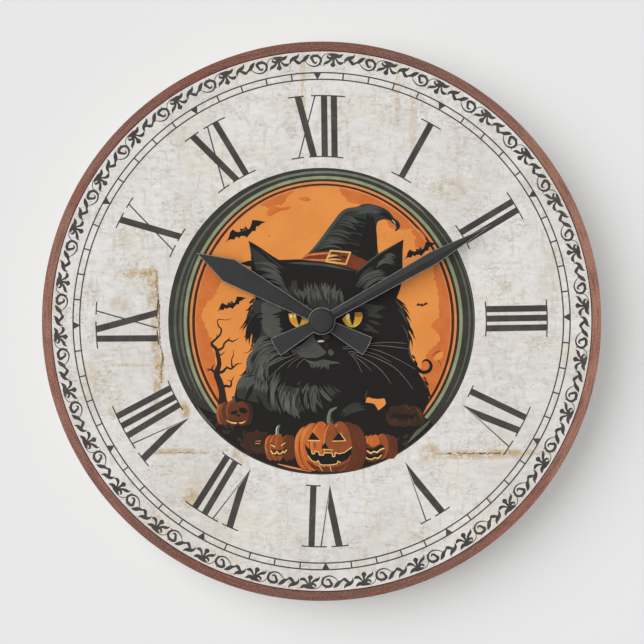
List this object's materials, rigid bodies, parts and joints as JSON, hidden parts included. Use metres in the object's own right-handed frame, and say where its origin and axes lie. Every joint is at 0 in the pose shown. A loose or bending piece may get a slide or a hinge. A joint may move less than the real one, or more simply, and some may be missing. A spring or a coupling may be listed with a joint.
{
  "type": "wall clock",
  "caption": "Flat round wall clock with a printed Roman dial round a cat picture, dark pointed hands, and a battery quartz movement with its gear train behind the face.",
  "frame": {"origin": "on the centre arbor, in the plane of the wall, which is the flat back of the movement cover", "axes": "+Z towards twelve, +Y into the wall, the face looks along -Y, +X towards three as seen from the front"},
  "size_m": [0.273, 0.0315, 0.273],
  "materials": {
    "printed_face": "aged grey-white paper print under a satin clear sheet",
    "hand_paint": "satin charcoal paint on sheet metal, thin bright edge",
    "case_plastic": "fine-grained black moulding",
    "wheel_plastic": "off-white bearing plastic",
    "knob_plastic": "light grey moulding",
    "brass": "turned",
    "steel": "stamped, bright",
    "rubber": "matte black",
    "copper_wire": "enamelled copper wire, close wound",
    "magnet": "sintered, dark grey",
    "bobbin_plastic": "cream moulding",
    "board": "brown resin-paper laminate",
    "resin": "black potting resin",
    "cell_sleeve": "plain dark printed sleeve, satin"
  },
  "bodies": {
    "body": {"face_panel": "printed_face", "rubber_washer": "rubber", "brass_washer": "brass", "hex_nut": "brass", "threaded_bushing": "brass", "movement_front_case": "case_plastic", "movement_back_cover": "case_plastic", "train_plate": "case_plastic", "battery_positive_contact": "steel", "battery_negative_contact": "steel", "circuit_board": "board", "timing_chip": "resin", "quartz_crystal": "steel", "coil_bobbin": "bobbin_plastic", "coil_winding": "copper_wire", "coil_core": "steel", "core_screw_left": "steel", "core_screw_right": "steel", "stator_plate": "steel"},
    "minute": {"cannon_pinion": "brass", "minute_hand": "hand_paint", "hand_cap_nut": "hand_paint"},
    "hour": {"hour_wheel": "wheel_plastic", "hour_hand": "hand_paint"},
    "motion": {"motion_wheel": "wheel_plastic", "setting_knob": "knob_plastic"},
    "rotor": {"rotor_pinion": "wheel_plastic", "rotor_magnet": "magnet"},
    "fifth": {"fifth_wheel": "wheel_plastic"},
    "seconds": {"seconds_wheel": "wheel_plastic"},
    "third": {"third_wheel": "wheel_plastic"},
    "centre": {"centre_wheel": "wheel_plastic", "clutch_spring": "steel"},
    "cell": {"battery_cell": "cell_sleeve"}
  },
  "joints": [
    {"name": "minute_turn", "type": "hinge", "parent": "body", "child": "minute", "pos_m": [0, 0, 0], "axis": [0, 1, 0], "continuous": true},
    {"name": "hour_turn", "type": "hinge", "parent": "body", "child": "hour", "pos_m": [0, 0, 0], "axis": [0, 1, 0], "continuous": true},
    {"name": "motion_turn", "type": "hinge", "parent": "body", "child": "motion", "pos_m": [0.0096, 0, 0], "axis": [0, 1, 0], "continuous": true},
    {"name": "rotor_turn", "type": "hinge", "parent": "body", "child": "rotor", "pos_m": [-0.00214, 0, 0.00989], "axis": [0, 1, 0], "continuous": true},
    {"name": "fifth_turn", "type": "hinge", "parent": "body", "child": "fifth", "pos_m": [0.00375, 0, 0.00649], "axis": [0, 1, 0], "continuous": true},
    {"name": "seconds_turn", "type": "hinge", "parent": "body", "child": "seconds", "pos_m": [0, 0, 0], "axis": [0, 1, 0], "continuous": true},
    {"name": "third_turn", "type": "hinge", "parent": "body", "child": "third", "pos_m": [-0.00677, 0, -0.00246], "axis": [0, 1, 0], "continuous": true},
    {"name": "centre_turn", "type": "hinge", "parent": "body", "child": "centre", "pos_m": [0, 0, 0], "axis": [0, 1, 0], "continuous": true},
    {"name": "cell_out", "type": "slide", "parent": "body", "child": "cell", "axis": [0, 1, 0], "range_m": [0, 0.02]}
  ],
  "couplings": [
    {"joint": "hour_turn", "follows": "minute_turn", "ratio": 0.083333},
    {"joint": "motion_turn", "follows": "minute_turn", "ratio": -0.33333},
    {"joint": "fifth_turn", "follows": "rotor_turn", "ratio": -0.13333},
    {"joint": "seconds_turn", "follows": "rotor_turn", "ratio": 0.033333},
    {"joint": "third_turn", "follows": "rotor_turn", "ratio": -0.0044444},
    {"joint": "centre_turn", "follows": "rotor_turn", "ratio": 0.00055556}
  ]
}
